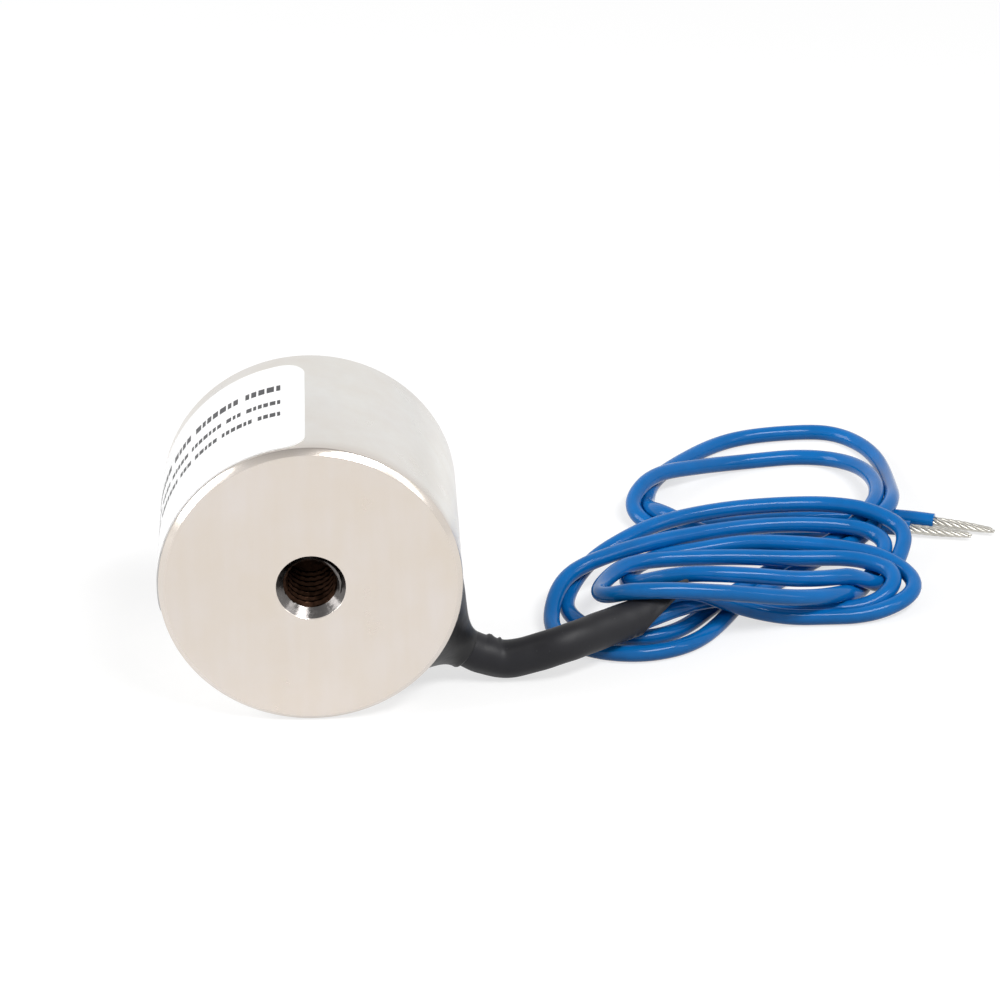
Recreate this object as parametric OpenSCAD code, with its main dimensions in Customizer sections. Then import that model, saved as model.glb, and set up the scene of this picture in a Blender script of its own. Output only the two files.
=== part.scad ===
// Holding electromagnet: a turned steel pot with a centre pole, a wound coil cast into it,
// a tapped hole in its rear face, and two insulated leads in a black sleeve.
// It lies on its side. X points to the side the leads leave from, Y from the rear face
// to the holding face, and Z up from the floor. Sizes are in millimetres.

/* [Magnet body] */
// Outside diameter of the steel pot
body_d = 20; // [18:0.5:30]
// Length from the rear face to the holding face
body_len = 15; // [13:0.5:24]
// Bevel round the rear edge
rear_bevel = 0.4; // [0.2:0.05:0.8]
// Bevel round the edge of the holding face
face_bevel = 0.15; // [0.05:0.05:0.4]
// Thickness of the pot's side wall
side_wall = 1.6; // [1.2:0.1:2.2]
// Thickness of the pot's rear wall
rear_wall = 4; // [3:0.25:5]
// Width of the ring-shaped slot between the side wall and the centre pole
slot_w = 4.15; // [3.6:0.05:4.5]

/* [Mounting thread] */
// Nominal diameter of the tapped hole
thread_d = 4; // [3:0.5:5]
// Depth of full thread
thread_depth = 6; // [4:0.5:7]
// Width of the countersink round the mouth of the hole
countersink = 0.35; // [0.2:0.05:0.6]
// Angle of the drill's point at the bottom of the hole
drill_angle = 118; // [90:2:140]

/* [Magnet coil] */
// Wall of the bobbin's tube
bobbin_wall = 0.5; // [0.4:0.05:0.6]
// Thickness of each bobbin flange
flange_t = 0.6; // [0.4:0.1:1]
// Gap between the bobbin's tube and the pole
pole_gap = 0.1; // [0.05:0.05:0.2]
// Gap between the flanges and the pot's wall
flange_gap = 0.2; // [0.1:0.05:0.3]
// Space for the lead joints between the coil's tape and the pot's wall
joint_space = 1.1; // [1:0.05:1.3]
// Thickness of the tape round the winding
tape_t = 0.2; // [0.1:0.05:0.3]
// Width of the notch that the leads pass in the rear flange
notch_w = 4; // [3:0.25:5]

/* [Face resin] */
// Thickness of the cast resin at the walls
resin_t = 1.5; // [1:0.1:2]
// How far the middle of the resin is sunk below the holding face
resin_sink = 0.25; // [0.15:0.05:0.5]
// How far the resin's edges are sunk where it climbs the steel
resin_edge_sink = 0.1; // [0.05:0.05:0.15]
// Width of the climb at each edge
resin_climb = 0.4; // [0.2:0.05:0.6]

/* [Label] */
// Gap between the label and the holding face
label_from_face = 1.7; // [0.5:0.1:4]
// Width of the label round the magnet
label_w = 18; // [10:0.5:20]
// Thickness of the label
label_t = 0.1; // [0.05:0.05:0.2]
// Radius of the label's corners
label_corner = 1.5; // [0.5:0.1:2.5]
// Gap between the label and the bevel of the rear edge
label_from_bevel = 0.2; // [0.1:0.05:0.5]
// Angle from the lead side, over the top, to the label's near edge
label_start = 91; // [70:1:110]

/* [Lead exit] */
// Angle of the lead hole below the horizontal
exit_angle = 37; // [30:1:40]
// Gap between the rear wall and the lead hole
exit_from_wall = 0.1; // [0.05:0.05:1]
// Gap round the sleeve in the lead hole
exit_gap = 0.1; // [0.05:0.05:0.2]
// Height of the seal's flare up the sleeve
seal_h = 2.9; // [2:0.1:3.2]
// Reach of the seal's flare round the pot, from the sleeve
seal_w = 3.4; // [2:0.1:3.6]
// How full the flare's side is, from a hollow at 0 to a straight cone at 1
seal_fill = 0.9; // [0.5:0.05:1]
// Thickness of the seal's edges
seal_lip = 0.15; // [0.05:0.05:0.3]

/* [Leads] */
// Outside diameter of each insulated wire
wire_d = 1.15; // [0.9:0.05:1.2]
// Diameter of the bare stranded conductor
core_d = 0.7; // [0.5:0.05:0.8]
// Wall of the sleeve over both wires
sleeve_wall = 0.12; // [0.1:0.01:0.3]
// Gap between the pair of wires and the sleeve
sleeve_gap = 0.02; // [0.01:0.01:0.05]
// Length of the stripped and tinned ends
tip_len = 4.5; // [3:0.5:8]
// Diameter of the soldered joints inside
joint_d = 0.9; // [0.8:0.05:0.95]
// Length of the soldered joints inside
joint_len = 3; // [2:0.25:4]

/* [Lead coil] */
// Width of the coil of leads on the floor
coil_w = 27.6; // [26:0.2:32]
// Depth of the coil, along the magnet
coil_depth = 17.6; // [16:0.2:22]
// Width of the coil's bundle of strands
bundle_w = 5; // [4.5:0.25:6]
// Height of the coil's bundle of strands
bundle_h = 5.6; // [5:0.2:7]
// Outside diameter of the loop behind the coil
loop_d = 21; // [18:0.5:24]
// How far the loop reaches past the back of the coil
loop_reach = 18; // [14:0.5:20]

/* [Hidden] */
$fn = 96;
// A cut runs this far past the face it opens.
past = 0.5;
// Shapes that make up one solid run this far into each other.
merge = 0.01;

body_r = body_d / 2;
slot_r = body_r - side_wall;
pole_r = slot_r - slot_w;
bobbin_end = body_len - resin_t - resin_edge_sink;
tube_r_in = pole_r + pole_gap;
tube_r = tube_r_in + bobbin_wall;
flange_r = slot_r - flange_gap;
tape_r = slot_r - joint_space;
winding_r = tape_r - tape_t;

drill_h = thread_d / 2 / tan(drill_angle / 2);

sleeve_bore = 2 * (wire_d + sleeve_gap);
sleeve_d = sleeve_bore + 2 * sleeve_wall;
sleeve_r = sleeve_d / 2;
hole_d = sleeve_d + 2 * exit_gap;
exit_from_rear = rear_wall + exit_from_wall + hole_d / 2;
label_low = rear_bevel + label_from_bevel;
label_len = body_len - label_low - label_from_face;
wire_offset = (wire_d + sleeve_gap) / 2;
// The insulation starts this far into the lead hole.
wire_inset = 0.05;
wire_start_r = slot_r + wire_inset;
joint_r = (slot_r + tape_r) / 2;

exit_y = exit_from_rear - body_len / 2;
// The sleeve runs straight out until it is this far past its seal, from the magnet's axis.
seal_clear = 0.1;
// Steps in the outline of the seal's flare.
seal_steps = 6;
straight_r = body_r + seal_h + seal_clear;
straight_x = straight_r * cos(exit_angle);
straight_z = body_r - straight_r * sin(exit_angle);
// The sleeve then bends level, down onto the floor.
bend_r = (straight_z - sleeve_r) / (1 - cos(exit_angle));
bend_half = exit_angle / 2;
level_x = straight_x + bend_r * sin(exit_angle);

// The sleeve's route: out of the magnet, down to the floor, then up over the lowest strands.
// Each free point is [from the level point, from the exit, above the sleeve's own radius].
sleeve_free = [
    [2, -0.2, 0.6], [4, -0.2, 1.3], [6.6, 1.4, 1.4], [9.4, 3.2, 1.5], [12.2, 5, 1.6]
];
sleeve_path = concat(
    [
        [wire_start_r * cos(exit_angle), exit_y, body_r - wire_start_r * sin(exit_angle)],
        [straight_x, exit_y, straight_z],
        [
            straight_x + bend_r * (sin(exit_angle) - sin(bend_half)), exit_y,
            straight_z - bend_r * (cos(bend_half) - cos(exit_angle))
        ],
        [level_x, exit_y, sleeve_r]
    ],
    [for (p = sleeve_free) [level_x + p[0], exit_y + p[1], sleeve_r + p[2]]]
);
sleeve_dirs = path_dirs(sleeve_path);

// The coil lies round the sleeve's end, with one loop of the two leads behind it.
// Its near left corner is this far from the level point and from the exit.
coil_x = level_x + 2.4;
coil_y = exit_y + 1;
end_r = coil_depth / 2;
coil_mid = [coil_x + coil_w / 2, coil_y + end_r];
coil_round = bundle_w / 3;
// The loop stands this far to the right of the coil's middle.
loop_aside = 3.8;
loop_mid = [coil_mid[0] + loop_aside, coil_y + coil_depth + loop_reach - loop_d / 2];
// The gap between the loop's two strands, and how far one is lifted by a crossing.
loop_gap = 0.7;
loop_lift = 0.2;
loop_w = 2 * wire_d + loop_gap;
loop_h = wire_d + loop_lift;

// The tails leave the loop at these angles, lie on the floor, and end bare.
// Each free point is [across, along] from the tail's start in the loop.
tail_a = on_floor(-29, [[0, 0], [2.2, -0.1], [4.3, -0.9]]);
tail_b = on_floor(-40, [[0, 0], [1.8, -0.2], [3.4, -0.6]]);

function unit(v) = v / norm(v);
function path_dirs(p) = [
    for (i = [0:len(p) - 1]) unit(p[min(i + 1, len(p) - 1)] - p[max(i - 1, 0)])
];
function side_of(t) = unit(cross([0, 0, 1], t));
function over_of(t) = cross(t, side_of(t));
function ring_at(p, t, r, n) = [
    for (k = [0:n - 1]) p + r * (cos(360 * k / n) * side_of(t) + sin(360 * k / n) * over_of(t))
];
function rings(path, dirs, r, n) = [
    for (i = [0:len(path) - 1]) each ring_at(path[i], dirs[i], r, n)
];
function raised(path, dirs, up) = [for (i = [0:len(path) - 1]) path[i] + up * over_of(dirs[i])];
function on_floor(angle, points) = [
    for (p = points)
        let (start = loop_mid + (loop_d - loop_w) / 2 * [cos(angle), sin(angle)])
            [start[0] + p[0], start[1] + p[1], wire_d / 2]
];
// A point of the curve from a to c that b pulls aside.
function curve_at(a, b, c, t) = pow(1 - t, 2) * a + 2 * t * (1 - t) * b + pow(t, 2) * c;
// Triangles between each ring and the next, counted from the first of them.
function skin(count, n, first, turn) = [
    for (i = [0:count - 2], k = [0:n - 1], half = [0, 1])
        let (a = first + i * n + k, b = first + i * n + (k + 1) % n)
            turn
                ? (half == 0 ? [a, b, b + n] : [a, b + n, a + n])
                : (half == 0 ? [a, b + n, b] : [a, a + n, b + n])
];

// A solid round cord along a path.
module cord(path, dirs, d, n = 8) {
    count = len(path);
    polyhedron(
        points = rings(path, dirs, d / 2, n),
        faces = concat(
            skin(count, n, 0, false),
            [[for (k = [0:n - 1]) k]],
            [[for (k = [n - 1:-1:0]) (count - 1) * n + k]]
        )
    );
}

// A hollow round tube along a path.
module tube(path, dirs, d, bore, n = 12) {
    count = len(path);
    inner = count * n;
    last = (count - 1) * n;
    polyhedron(
        points = concat(rings(path, dirs, d / 2, n), rings(path, dirs, bore / 2, n)),
        faces = concat(
            skin(count, n, 0, false),
            skin(count, n, inner, true),
            [for (k = [0:n - 1]) [k, (k + 1) % n, inner + (k + 1) % n]],
            [for (k = [0:n - 1]) [k, inner + (k + 1) % n, inner + k]],
            [for (k = [0:n - 1]) [last + k, inner + last + (k + 1) % n, last + (k + 1) % n]],
            [for (k = [0:n - 1]) [last + k, inner + last + k, inner + last + (k + 1) % n]]
        )
    );
}

// From the magnet's own axis, with its rear face at zero, to the magnet lying on its side.
module lay_down() {
    translate([0, -body_len / 2, body_r])
        rotate([-90, 0, 0])
            children();
}

// From the lead hole's own axis to its place in the magnet.
module at_exit() {
    rotate([0, 0, exit_angle])
        translate([0, 0, exit_from_rear])
            rotate([0, 90, 0])
                children();
}

// A round rod from one point to another.
module rod(from, to, d) {
    v = to - from;
    translate(from)
        rotate([0, acos(v[2] / norm(v)), atan2(v[1], v[0])])
            cylinder(d = d, h = norm(v));
}

module pot_body() {
    color("Silver")
        lay_down()
            difference() {
                rotate_extrude()
                    polygon([
                        [0, 0], [body_r - rear_bevel, 0], [body_r, rear_bevel],
                        [body_r, body_len - face_bevel], [body_r - face_bevel, body_len],
                        [slot_r, body_len], [slot_r, rear_wall], [pole_r, rear_wall],
                        [pole_r, body_len], [0, body_len]
                    ]);
                translate([0, 0, -past])
                    cylinder(d = thread_d, h = thread_depth + past);
                translate([0, 0, thread_depth - merge])
                    cylinder(d1 = thread_d, d2 = 0, h = drill_h);
                translate([0, 0, -past])
                    cylinder(
                        d1 = thread_d + 2 * (countersink + past), d2 = thread_d,
                        h = countersink + past
                    );
                at_exit()
                    translate([0, 0, slot_r - past])
                        cylinder(d = hole_d, h = side_wall + 2 * past);
            }
}

module coil_bobbin() {
    color("Ivory")
        lay_down()
            difference() {
                rotate_extrude()
                    polygon([
                        [tube_r_in, rear_wall], [flange_r, rear_wall],
                        [flange_r, rear_wall + flange_t], [tube_r, rear_wall + flange_t],
                        [tube_r, bobbin_end - flange_t], [flange_r, bobbin_end - flange_t],
                        [flange_r, bobbin_end], [tube_r_in, bobbin_end]
                    ]);
                rotate([0, 0, exit_angle])
                    translate([tape_r, -notch_w / 2, rear_wall - past])
                        cube([joint_space + past, notch_w, flange_t + 2 * past]);
            }
}

module coil_winding() {
    color("Peru")
        lay_down()
            rotate_extrude()
                translate([tube_r, rear_wall + flange_t])
                    square([winding_r - tube_r, bobbin_end - rear_wall - 2 * flange_t]);
}

module winding_tape() {
    color("Goldenrod")
        lay_down()
            rotate_extrude()
                translate([winding_r, rear_wall + flange_t])
                    square([tape_t, bobbin_end - rear_wall - 2 * flange_t]);
}

module face_resin() {
    edge = body_len - resin_edge_sink;
    middle = body_len - resin_sink;
    color("DimGray")
        lay_down()
            rotate_extrude()
                polygon([
                    [pole_r, bobbin_end], [slot_r, bobbin_end], [slot_r, edge],
                    [slot_r - resin_climb, middle], [pole_r + resin_climb, middle], [pole_r, edge]
                ]);
}

module rating_label() {
    spread = label_w / body_r * 180 / PI;
    corner_turn = label_corner / body_r * 180 / PI;
    color("White")
        lay_down()
            difference() {
                rotate([0, 0, -label_start - spread])
                    rotate_extrude(angle = spread)
                        translate([body_r, label_low])
                            square([label_t, label_len]);
                for (edge = [0, 1], end = [0, 1])
                    rotate([0, 0, -label_start - spread * edge + corner_turn * (2 * edge - 1)])
                        translate([
                            body_r, 0,
                            label_low + label_corner + end * (label_len - 2 * label_corner)
                        ])
                            label_corner_cut(1 - 2 * edge, 2 * end - 1);
            }
}

// What is cut from a corner of the label, towards the given sides. The arc is a little wider
// than the corner, so that it crosses the label's edges cleanly.
module label_corner_cut(across, along) {
    size = label_corner + past;
    arc_r = 1.04 * label_corner;
    difference() {
        translate([-past, across > 0 ? 0 : -size, along > 0 ? 0 : -size])
            cube([2 * past, size, size]);
        rotate([0, 90, 0])
            cylinder(r = arc_r, h = 4 * past, center = true);
    }
}

// The joint between a lead's conductor and the winding: in from the lead, then along the coil.
module solder_joint(across) {
    lay_down()
        at_exit() {
            translate([0, across, joint_r])
                cylinder(d = core_d, h = wire_start_r - joint_r);
            translate([0, across, joint_r])
                sphere(d = joint_d);
            translate([0, across, joint_r])
                rotate([0, -90, 0])
                    cylinder(d = joint_d, h = joint_len);
        }
}

module solder_joint_a() {
    color("Gainsboro")
        solder_joint(-wire_offset);
}

module solder_joint_b() {
    color("Gainsboro")
        solder_joint(wire_offset);
}

// The seal flares from the sleeve onto the pot. Its outline bends from its top on the sleeve to
// its foot, which reaches round the pot.
module exit_seal() {
    foot_r = sleeve_r + seal_w;
    foot_drop = body_r - sqrt(pow(body_r, 2) - pow(foot_r, 2));
    top = [sleeve_r + seal_lip, seal_h];
    foot = [foot_r, seal_lip - foot_drop];
    hollow = [top[0], foot[1]];
    pull = hollow + seal_fill * ((top + foot) / 2 - hollow);
    color("Black")
        lay_down()
            difference() {
                at_exit()
                    translate([0, 0, body_r])
                        rotate_extrude()
                            polygon(concat(
                                [[sleeve_r, -foot_drop - past], [foot_r, -foot_drop - past]],
                                [for (k = [0:seal_steps]) curve_at(foot, pull, top, k / seal_steps)],
                                [[sleeve_r, seal_h]]
                            ));
                cylinder(r = body_r, h = body_len);
            }
}

module lead_sleeve() {
    color("Black")
        tube(sleeve_path, sleeve_dirs, sleeve_d, sleeve_bore);
}

module lead_wire_a() {
    color("DodgerBlue")
        cord(raised(sleeve_path, sleeve_dirs, wire_offset), sleeve_dirs, wire_d);
}

module lead_wire_b() {
    color("DodgerBlue")
        cord(raised(sleeve_path, sleeve_dirs, -wire_offset), sleeve_dirs, wire_d);
}

// The cross-section of the coil's bundle, flat on the floor and rounded on top.
module bundle_section() {
    square([bundle_w, bundle_h - coil_round]);
    translate([coil_round, bundle_h - coil_round - merge])
        square([bundle_w - 2 * coil_round, coil_round + merge]);
    for (x = [coil_round, bundle_w - coil_round])
        translate([x, bundle_h - coil_round])
            circle(r = coil_round);
}

// The outer shape of both leads coiled up, with the room for what runs into it.
module lead_coil() {
    straight = coil_w - coil_depth;
    color("DodgerBlue")
        difference() {
            union() {
                translate([coil_mid[0], coil_mid[1], 0]) {
                    for (end = [0, 1])
                        rotate([0, 0, 180 * end])
                            translate([straight / 2, 0, 0])
                                rotate([0, 0, -90])
                                    rotate_extrude(angle = 180)
                                        translate([end_r - bundle_w, 0])
                                            bundle_section();
                    for (end = [0, 1])
                        rotate([0, 0, 180 * end])
                            translate([-straight / 2, end_r - bundle_w, 0])
                                rotate([90, 0, 90])
                                    linear_extrude(straight)
                                        bundle_section();
                }
                translate([loop_mid[0], loop_mid[1], 0])
                    rotate_extrude()
                        translate([loop_d / 2 - loop_w, 0])
                            square([loop_w, loop_h]);
            }
            cord(sleeve_path, sleeve_dirs, sleeve_d + 2 * exit_gap, 12);
            cord(tail_a, path_dirs(tail_a), wire_d);
            cord(tail_b, path_dirs(tail_b), wire_d);
        }
}

module lead_tail_a() {
    color("DodgerBlue")
        cord(tail_a, path_dirs(tail_a), wire_d);
}

module lead_tail_b() {
    color("DodgerBlue")
        cord(tail_b, path_dirs(tail_b), wire_d);
}

// The bare end of a lead, straight on from its last stretch.
module tinned_end(path) {
    last = path[len(path) - 1];
    rod(last, last + tip_len * unit(last - path[len(path) - 2]), core_d);
}

module tinned_end_a() {
    color("Gainsboro")
        tinned_end(tail_a);
}

module tinned_end_b() {
    color("Gainsboro")
        tinned_end(tail_b);
}

pot_body();
coil_bobbin();
coil_winding();
winding_tape();
face_resin();
rating_label();
solder_joint_a();
solder_joint_b();
exit_seal();
lead_sleeve();
lead_wire_a();
lead_wire_b();
lead_coil();
lead_tail_a();
lead_tail_b();
tinned_end_a();
tinned_end_b();
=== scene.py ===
"""Looks of a holding electromagnet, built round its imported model.

The plated pot with its tapped hole, the label, the seal, the sleeve, the two coiled leads, the face resin
and the finish of the pieces inside each have an operator, and so has the stage. Lengths are worked out in
millimetres, and meshes, lamps and the camera are in metres.
"""

import math

import bpy
import numpy as np
from bpy.props import FloatProperty, FloatVectorProperty, IntProperty, PointerProperty
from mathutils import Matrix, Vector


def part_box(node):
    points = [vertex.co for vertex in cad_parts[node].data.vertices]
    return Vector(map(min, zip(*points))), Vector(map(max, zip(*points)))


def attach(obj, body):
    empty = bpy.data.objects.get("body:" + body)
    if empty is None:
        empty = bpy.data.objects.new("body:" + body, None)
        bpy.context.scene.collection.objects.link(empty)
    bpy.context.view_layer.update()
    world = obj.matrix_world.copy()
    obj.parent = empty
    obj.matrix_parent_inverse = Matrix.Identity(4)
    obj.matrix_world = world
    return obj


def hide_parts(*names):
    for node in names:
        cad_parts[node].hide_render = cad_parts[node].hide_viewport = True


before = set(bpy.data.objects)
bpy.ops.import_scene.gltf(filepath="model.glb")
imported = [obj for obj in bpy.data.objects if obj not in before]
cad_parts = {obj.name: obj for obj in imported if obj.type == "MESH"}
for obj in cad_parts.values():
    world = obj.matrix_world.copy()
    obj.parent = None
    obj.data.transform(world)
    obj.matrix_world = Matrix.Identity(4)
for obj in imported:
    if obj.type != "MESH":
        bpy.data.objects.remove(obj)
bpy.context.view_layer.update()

bl_info = {
    "name": "Holding Electromagnet",
    "version": (1, 0, 0),
    "blender": (4, 5, 0),
    "location": "View3D > Sidebar > Magnet",
    "description": "Builds the pot, label, seal, sleeve, leads and resin of a holding electromagnet",
    "category": "Object",
}

MM = 0.001
ROOT = "root"

# The pot lies along Y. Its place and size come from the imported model.
POT_LOW, POT_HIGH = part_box("pot_body")
BODY_R = (POT_HIGH.z - POT_LOW.z) / 2 / MM
AXIS_Z = (POT_HIGH.z + POT_LOW.z) / 2 / MM
REAR_Y = POT_LOW.y / MM
FACE_Y = POT_HIGH.y / MM
RESIN_LOW, RESIN_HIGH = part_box("face_resin")
SLOT_R = (RESIN_HIGH.z - RESIN_LOW.z) / 2 / MM

# The lead hole: its angle below the horizontal and its distance from the rear face.
EXIT_ANGLE = math.radians(37)
EXIT_Y = REAR_Y + 5.49
EXIT_OUT = np.array((math.cos(EXIT_ANGLE), 0, -math.sin(EXIT_ANGLE)))
AXIS_AT_EXIT = np.array((0, EXIT_Y, AXIS_Z))

# The sleeve runs straight out to STRAIGHT_R from the magnet's axis, bends level, and goes on by
# the points of SLEEVE_FREE: from the level point, from the exit, above the sleeve's own radius.
LEAD_START_R = 8.45
STRAIGHT_R = 13
SLEEVE_FREE = ((2, -0.2, 0.6), (4, -0.2, 1.3), (6.6, 1.4, 1.4), (9.4, 3.2, 1.5), (12.2, 5, 1.6))

# The turns of each lead. A lead runs along X at a "side" of a turn and along Y at an "end", with a
# quarter of an ellipse between the two, and it passes "by" the other points.
LEAD_A = (
    ("by", 27.4, 4.1, 2.6), ("by", 30.2, 4.7, 1.3), ("by", 33.4, 4.6, 0.6), ("side", 36.6, 4.8, 0.6),
    ("end", 42.4, 7.8, 1.4), ("side", 32, 12.4, 2.6), ("by", 29.5, 12.4, 2.5), ("side", 27.2, 12, 2.3),
    ("end", 21.8, 8.6, 2), ("side", 26.2, 5.2, 4), ("by", 30.5, 5.2, 3.7), ("by", 33.6, 5.7, 3),
    ("by", 37, 6.4, 2.4), ("by", 38.6, 7.2, 1.9), ("by", 39.8, 8.3, 1.1), ("by", 40.6, 9.6, 0.8),
    ("by", 41.4, 11.6, 1.2), ("end", 42.6, 14.8, 1.9), ("side", 36, 17.9, 2.8), ("by", 30.1, 17.2, 2.9),
    ("by", 24.9, 15.2, 2.9), ("by", 21.9, 13, 2.6), ("by", 19.5, 11.3, 1.8), ("end", 17.6, 7.4, 0.8),
    ("side", 22.4, 1.9, 0.6), ("by", 24.4, 2.4, 0.6), ("by", 26.2, 4, 0.6), ("by", 28.4, 7, 0.6),
    ("by", 33.5, 12.6, 0.6), ("by", 37.4, 15.8, 0.6), ("by", 39.6, 17.7, 1.2), ("by", 41, 19.6, 1.7),
    ("end", 41.6, 22.6, 1.7), ("side", 36.7, 30, 0.6), ("by", 31.3, 28.9, 0.8), ("by", 28.2, 27, 1.4),
    ("by", 25.4, 25, 1.75), ("end", 23.4, 21.5, 1.2), ("side", 26.6, 18, 0.6), ("by", 28.6, 18.6, 0.6),
    ("by", 32, 19.4, 0.6), ("by", 36, 19.8, 0.6), ("by", 40.5, 20, 0.6), ("by", 43.1, 19.5, 0.6),
    ("by", 45.2, 18.8, 0.58),
)
LEAD_B = (
    ("by", 27.4, 5.2, 1.5), ("by", 30, 5.9, 0.7), ("by", 33.4, 5.9, 0.6), ("side", 37.9, 5.7, 0.6),
    ("end", 41.1, 8.3, 1.8), ("side", 37.9, 10.9, 2.1), ("by", 34.2, 10.6, 2.2), ("by", 29.5, 10.6, 2.4),
    ("by", 24.5, 9.9, 2.6), ("by", 21.9, 8.6, 2.7), ("by", 20.5, 6.7, 2.8), ("end", 19.6, 3.7, 3.3),
    ("side", 22.4, 1, 4.5), ("by", 24.4, 1.3, 4.6), ("by", 28.6, 2.1, 4), ("by", 33.4, 3.4, 2.8),
    ("by", 36.3, 5, 1.95), ("by", 37.4, 6.2, 1.4), ("by", 38.3, 7.6, 0.7), ("by", 39, 9.2, 0.6),
    ("by", 39.9, 11, 1.1), ("end", 41.2, 13.4, 1.6), ("side", 38.7, 15.9, 1.9), ("by", 34.8, 15.5, 2.4),
    ("by", 29.9, 14.4, 2.7), ("by", 24, 12, 2.9), ("by", 20.2, 9.8, 2.9), ("by", 17.5, 8, 2.3),
    ("end", 16.4, 4.4, 0.8), ("side", 22.2, -0.3, 0.6), ("by", 24.7, 0.3, 0.6), ("by", 26.7, 1.7, 0.6),
    ("by", 28.7, 4.5, 0.6), ("by", 31.4, 8.2, 0.6), ("by", 36.4, 13.6, 0.6), ("by", 39.6, 16.4, 0.6),
    ("by", 41.4, 18.2, 1.2), ("by", 42.2, 20.4, 1.6), ("end", 42.6, 27.3, 0.7), ("side", 38.2, 34.3, 0.6),
    ("by", 31.7, 33.1, 0.6), ("by", 26.6, 28.3, 0.6), ("by", 25, 25.4, 0.6), ("end", 24.4, 22.6, 0.6),
    ("by", 24.6, 20.4, 1.2), ("by", 25.5, 18.5, 1.7), ("by", 27.6, 17.2, 1), ("by", 30.5, 16.9, 0.6),
    ("by", 35, 17.4, 0.6), ("by", 39, 18.2, 0.6), ("by", 41.4, 18.2, 0.6), ("by", 43.3, 17.7, 0.58),
)

# How the laid leads settle: passes that smooth them first, rounds, and in each round how far a strand
# sinks, the share of its move that it is drawn back, and how strongly touching strands part.
SMOOTH_PASSES = 10
SETTLE_ROUNDS = 400
SINK = 0.003
DRAWN_BACK = 0.02
PARTING = 1.2

# A tapped metric thread, in shares of its pitch: the ridge's height, half its flat crest, and its flank.
RIDGE = 0.5413
HALF_CREST = 0.125
FLANK = 0.3125

# The camera of the photograph's view, and each lamp's name, place, target, size and power.
CAMERA_PLACE = (0.00141, -0.24283, 0.13346)
CAMERA_TILT = 63.53
CAMERA_TURN = -2.67
SENSOR_WIDTH = 36
LAMPS = (
    ("front_softbox", (0.15, -0.15, 0.29), (0.02, 0, 0.01), (0.2, 0.08), 0.82),
    ("side_softbox", (-0.34, -0.02, 0.18), (0, 0, 0.012), (0.24, 0.24), 1.1),
    ("right_strip", (0.32, -0.14, 0.2), (0, 0, 0.012), (0.05, 0.14), 0.08),
)


def length(name, description, millimetres):
    """A length that a user can change."""
    return FloatProperty(
        name=name, description=description, default=millimetres * MM, min=0, unit="LENGTH", precision=5
    )


def colour(name, description, rgb):
    """A colour that a user can change."""
    return FloatVectorProperty(
        name=name, description=description, default=rgb, min=0, max=1, size=3, subtype="COLOR"
    )


def share(name, description, value, high=1):
    """A plain number that a user can change."""
    return FloatProperty(name=name, description=description, default=value, min=0, max=high)


class PotSettings(bpy.types.PropertyGroup):
    """The plated steel pot and its tapped hole."""

    rear_bevel: length("Rear Bevel", "Bevel round the rear edge", 0.4)
    face_bevel: length("Face Bevel", "Bevel round the edge of the holding face", 0.15)
    rear_wall: length("Rear Wall", "Thickness of the rear wall", 4)
    pole_d: length("Pole Diameter", "Diameter of the centre pole", 8.5)
    thread_d: length("Thread Diameter", "Nominal diameter of the tapped hole", 4)
    thread_pitch: length("Thread Pitch", "Distance between the thread's ridges", 0.7)
    thread_depth: length("Thread Depth", "Depth of full thread", 6)
    countersink: length("Countersink", "Width of the bevel round the hole's mouth", 0.35)
    side_colour: colour("Side Plating", "Plating on the ground side", (0.79, 0.785, 0.755))
    # The faces' warmer tone is partly painted reflection: it stands for the warm surroundings in front
    # that the faces mirror.
    face_tone_and_reflection: colour("Face Plating And Reflection", "Plating on the turned faces", (0.685, 0.622, 0.565))
    stain_colour: colour("Stain", "Warm stain in the plating", (0.66, 0.575, 0.47))
    cool_colour: colour("Cool", "Cooler blotches in the plating", (0.74, 0.7, 0.69))
    # The bore's near-black brown is partly oily cut steel and partly painted shade of the deep, narrow
    # hole.
    bore_tone_and_shade: colour("Bore", "Bare steel in the tapped hole", (0.042, 0.021, 0.013))
    # Painted reflection: the mouth's dark grey stands for the dark surroundings mirrored in the polished
    # countersink; the lamps add its glint.
    mouth_tone_and_reflection: colour("Mouth", "Bare steel of the bevel round the hole's mouth", (0.17, 0.16, 0.155))
    roughness: share("Roughness", "How matt the plating is", 0.3)
    columns: IntProperty(name="Columns", description="Steps round the pot", default=192, min=48, max=256)


class LabelSettings(bpy.types.PropertyGroup):
    """The white label and its plain print."""

    width: length("Width", "Width of the label round the pot", 18)
    thickness: length("Thickness", "Thickness of the label", 0.1)
    corner: length("Corner", "Radius of the label's corners", 1.5)
    from_rear: length("From Rear", "Distance from the rear face to the label", 0.6)
    from_face: length("From Face", "Distance from the holding face to the label", 1.7)
    start: FloatProperty(
        name="Start", description="Angle of the label's near edge, over the top from the lead side",
        default=math.radians(91), subtype="ANGLE",
    )
    film: colour("Film", "Colour of the label's film", (0.97, 0.97, 0.968))
    ink: colour("Ink", "Colour of the print", (0.045, 0.045, 0.048))


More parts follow.
